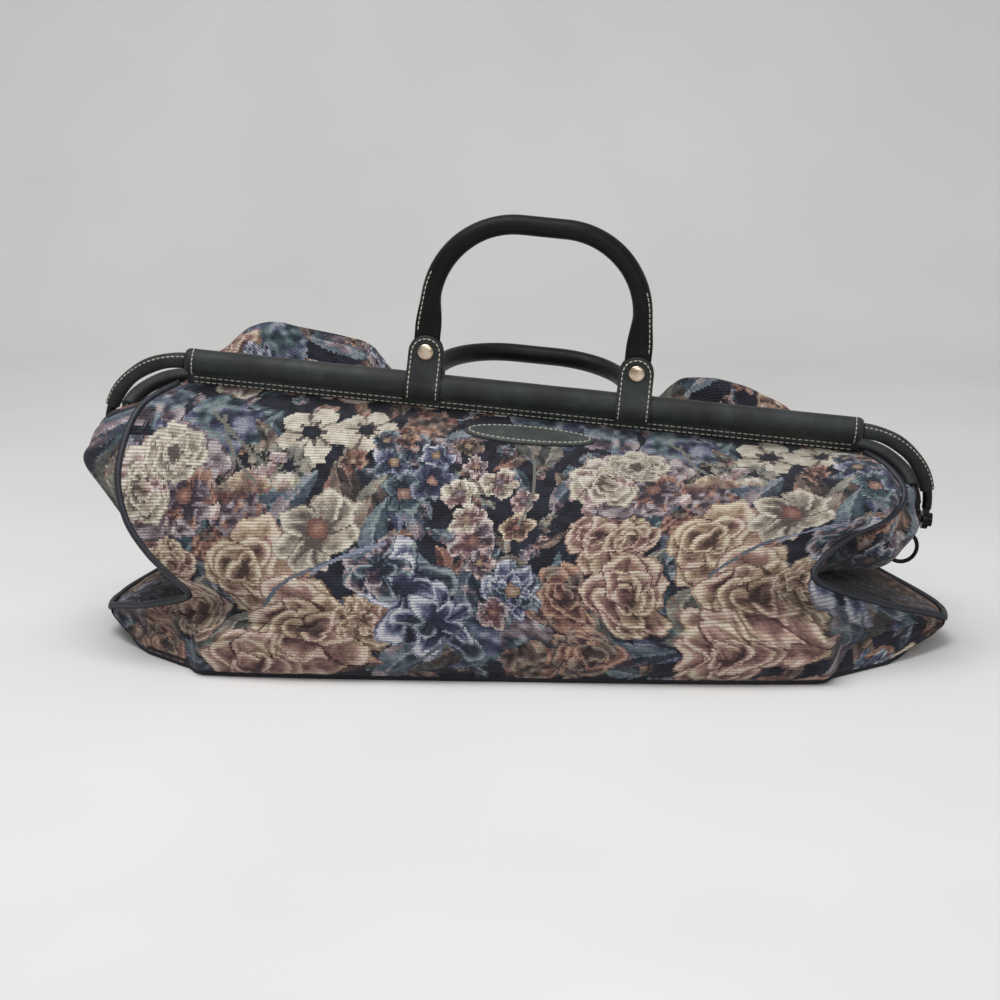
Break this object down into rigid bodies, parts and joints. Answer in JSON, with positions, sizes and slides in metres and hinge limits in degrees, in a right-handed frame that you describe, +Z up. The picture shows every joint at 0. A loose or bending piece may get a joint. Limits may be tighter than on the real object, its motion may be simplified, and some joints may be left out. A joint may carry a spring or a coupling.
{
  "type": "carpet bag",
  "caption": "Slumped tapestry carpet bag on a hinged mouth frame of leather-sleeved bars, with rolled leather handles, corded piping and strap rings.",
  "frame": {"origin": "middle of the flat base, on the floor", "axes": "+X along the bag to its right end, +Y to its back, +Z up"},
  "size_m": [0.6251, 0.3062, 0.3125],
  "materials": {
    "tapestry": "woven floral tapestry, ribbed, dark ground",
    "piping": "dark navy corded piping",
    "leather": "matte charcoal nubuck with pale stitching",
    "wood": "plain turned dowel",
    "board": "plain fibreboard",
    "steel": "plain bent rod",
    "ring": "black lacquered wire",
    "rivet": "pale satin plated caps"
  },
  "bodies": {
    "bag_body": {"front_panel": "tapestry", "back_panel": "tapestry", "left_end_panel": "tapestry", "right_end_panel": "tapestry", "base_panel": "tapestry", "base_board": "board", "left_piping": "piping", "right_piping": "piping", "left_chape": "leather", "right_chape": "leather", "left_hinge_spacer": "steel", "right_hinge_spacer": "steel", "left_hinge_pin": "steel", "right_hinge_pin": "steel"},
    "front_frame": {"front_dowel": "wood", "front_bar_sleeve": "leather", "front_left_arm": "steel", "front_right_arm": "steel", "front_left_arm_cover": "leather", "front_right_arm_cover": "leather", "leather_patch": "leather"},
    "back_frame": {"back_dowel": "wood", "back_bar_sleeve": "leather", "back_left_arm": "steel", "back_right_arm": "steel", "back_left_arm_cover": "leather", "back_right_arm_cover": "leather"},
    "front_handle_set": {"front_handle": "leather", "front_left_handle_tab": "leather", "front_right_handle_tab": "leather", "front_left_rivet": "rivet", "front_right_rivet": "rivet"},
    "back_handle_set": {"back_handle": "leather", "back_left_handle_tab": "leather", "back_right_handle_tab": "leather", "back_left_rivet": "rivet", "back_right_rivet": "rivet"},
    "left_ring_set": {"left_ring": "ring"},
    "right_ring_set": {"right_ring": "ring"}
  },
  "joints": [
    {"name": "front_frame_hinge", "type": "hinge", "parent": "bag_body", "child": "front_frame", "pos_m": [0, 0, 0.12], "axis": [0.9954, 0, -0.0958], "range_deg": [0, 45], "deforming": ["front_panel", "left_end_panel", "right_end_panel", "left_piping", "right_piping"]},
    {"name": "back_frame_hinge", "type": "hinge", "parent": "bag_body", "child": "back_frame", "pos_m": [0, 0, 0.12], "axis": [0.9954, 0, -0.0958], "range_deg": [-10, 37.5], "deforming": ["back_panel", "left_end_panel", "right_end_panel", "left_piping", "right_piping"]},
    {"name": "front_handle_pivot", "type": "hinge", "parent": "front_frame", "child": "front_handle_set", "pos_m": [0.00601, -0.01276, 0.18243], "axis": [0.9954, 0, -0.0958], "range_deg": [0, 90]},
    {"name": "back_handle_pivot", "type": "hinge", "parent": "back_frame", "child": "back_handle_set", "pos_m": [0.00394, 0.04903, 0.16095], "axis": [0.9954, 0, -0.0958], "range_deg": [-39.5, 41]},
    {"name": "left_ring_swing", "type": "hinge", "parent": "bag_body", "child": "left_ring_set", "pos_m": [-0.28599, 0, 0.13699], "axis": [0.9954, 0, -0.0958], "range_deg": [-60, 60]},
    {"name": "right_ring_swing", "type": "hinge", "parent": "bag_body", "child": "right_ring_set", "pos_m": [0.28398, 0, 0.08211], "axis": [0.9954, 0, -0.0958], "range_deg": [-60, 60]}
  ]
}
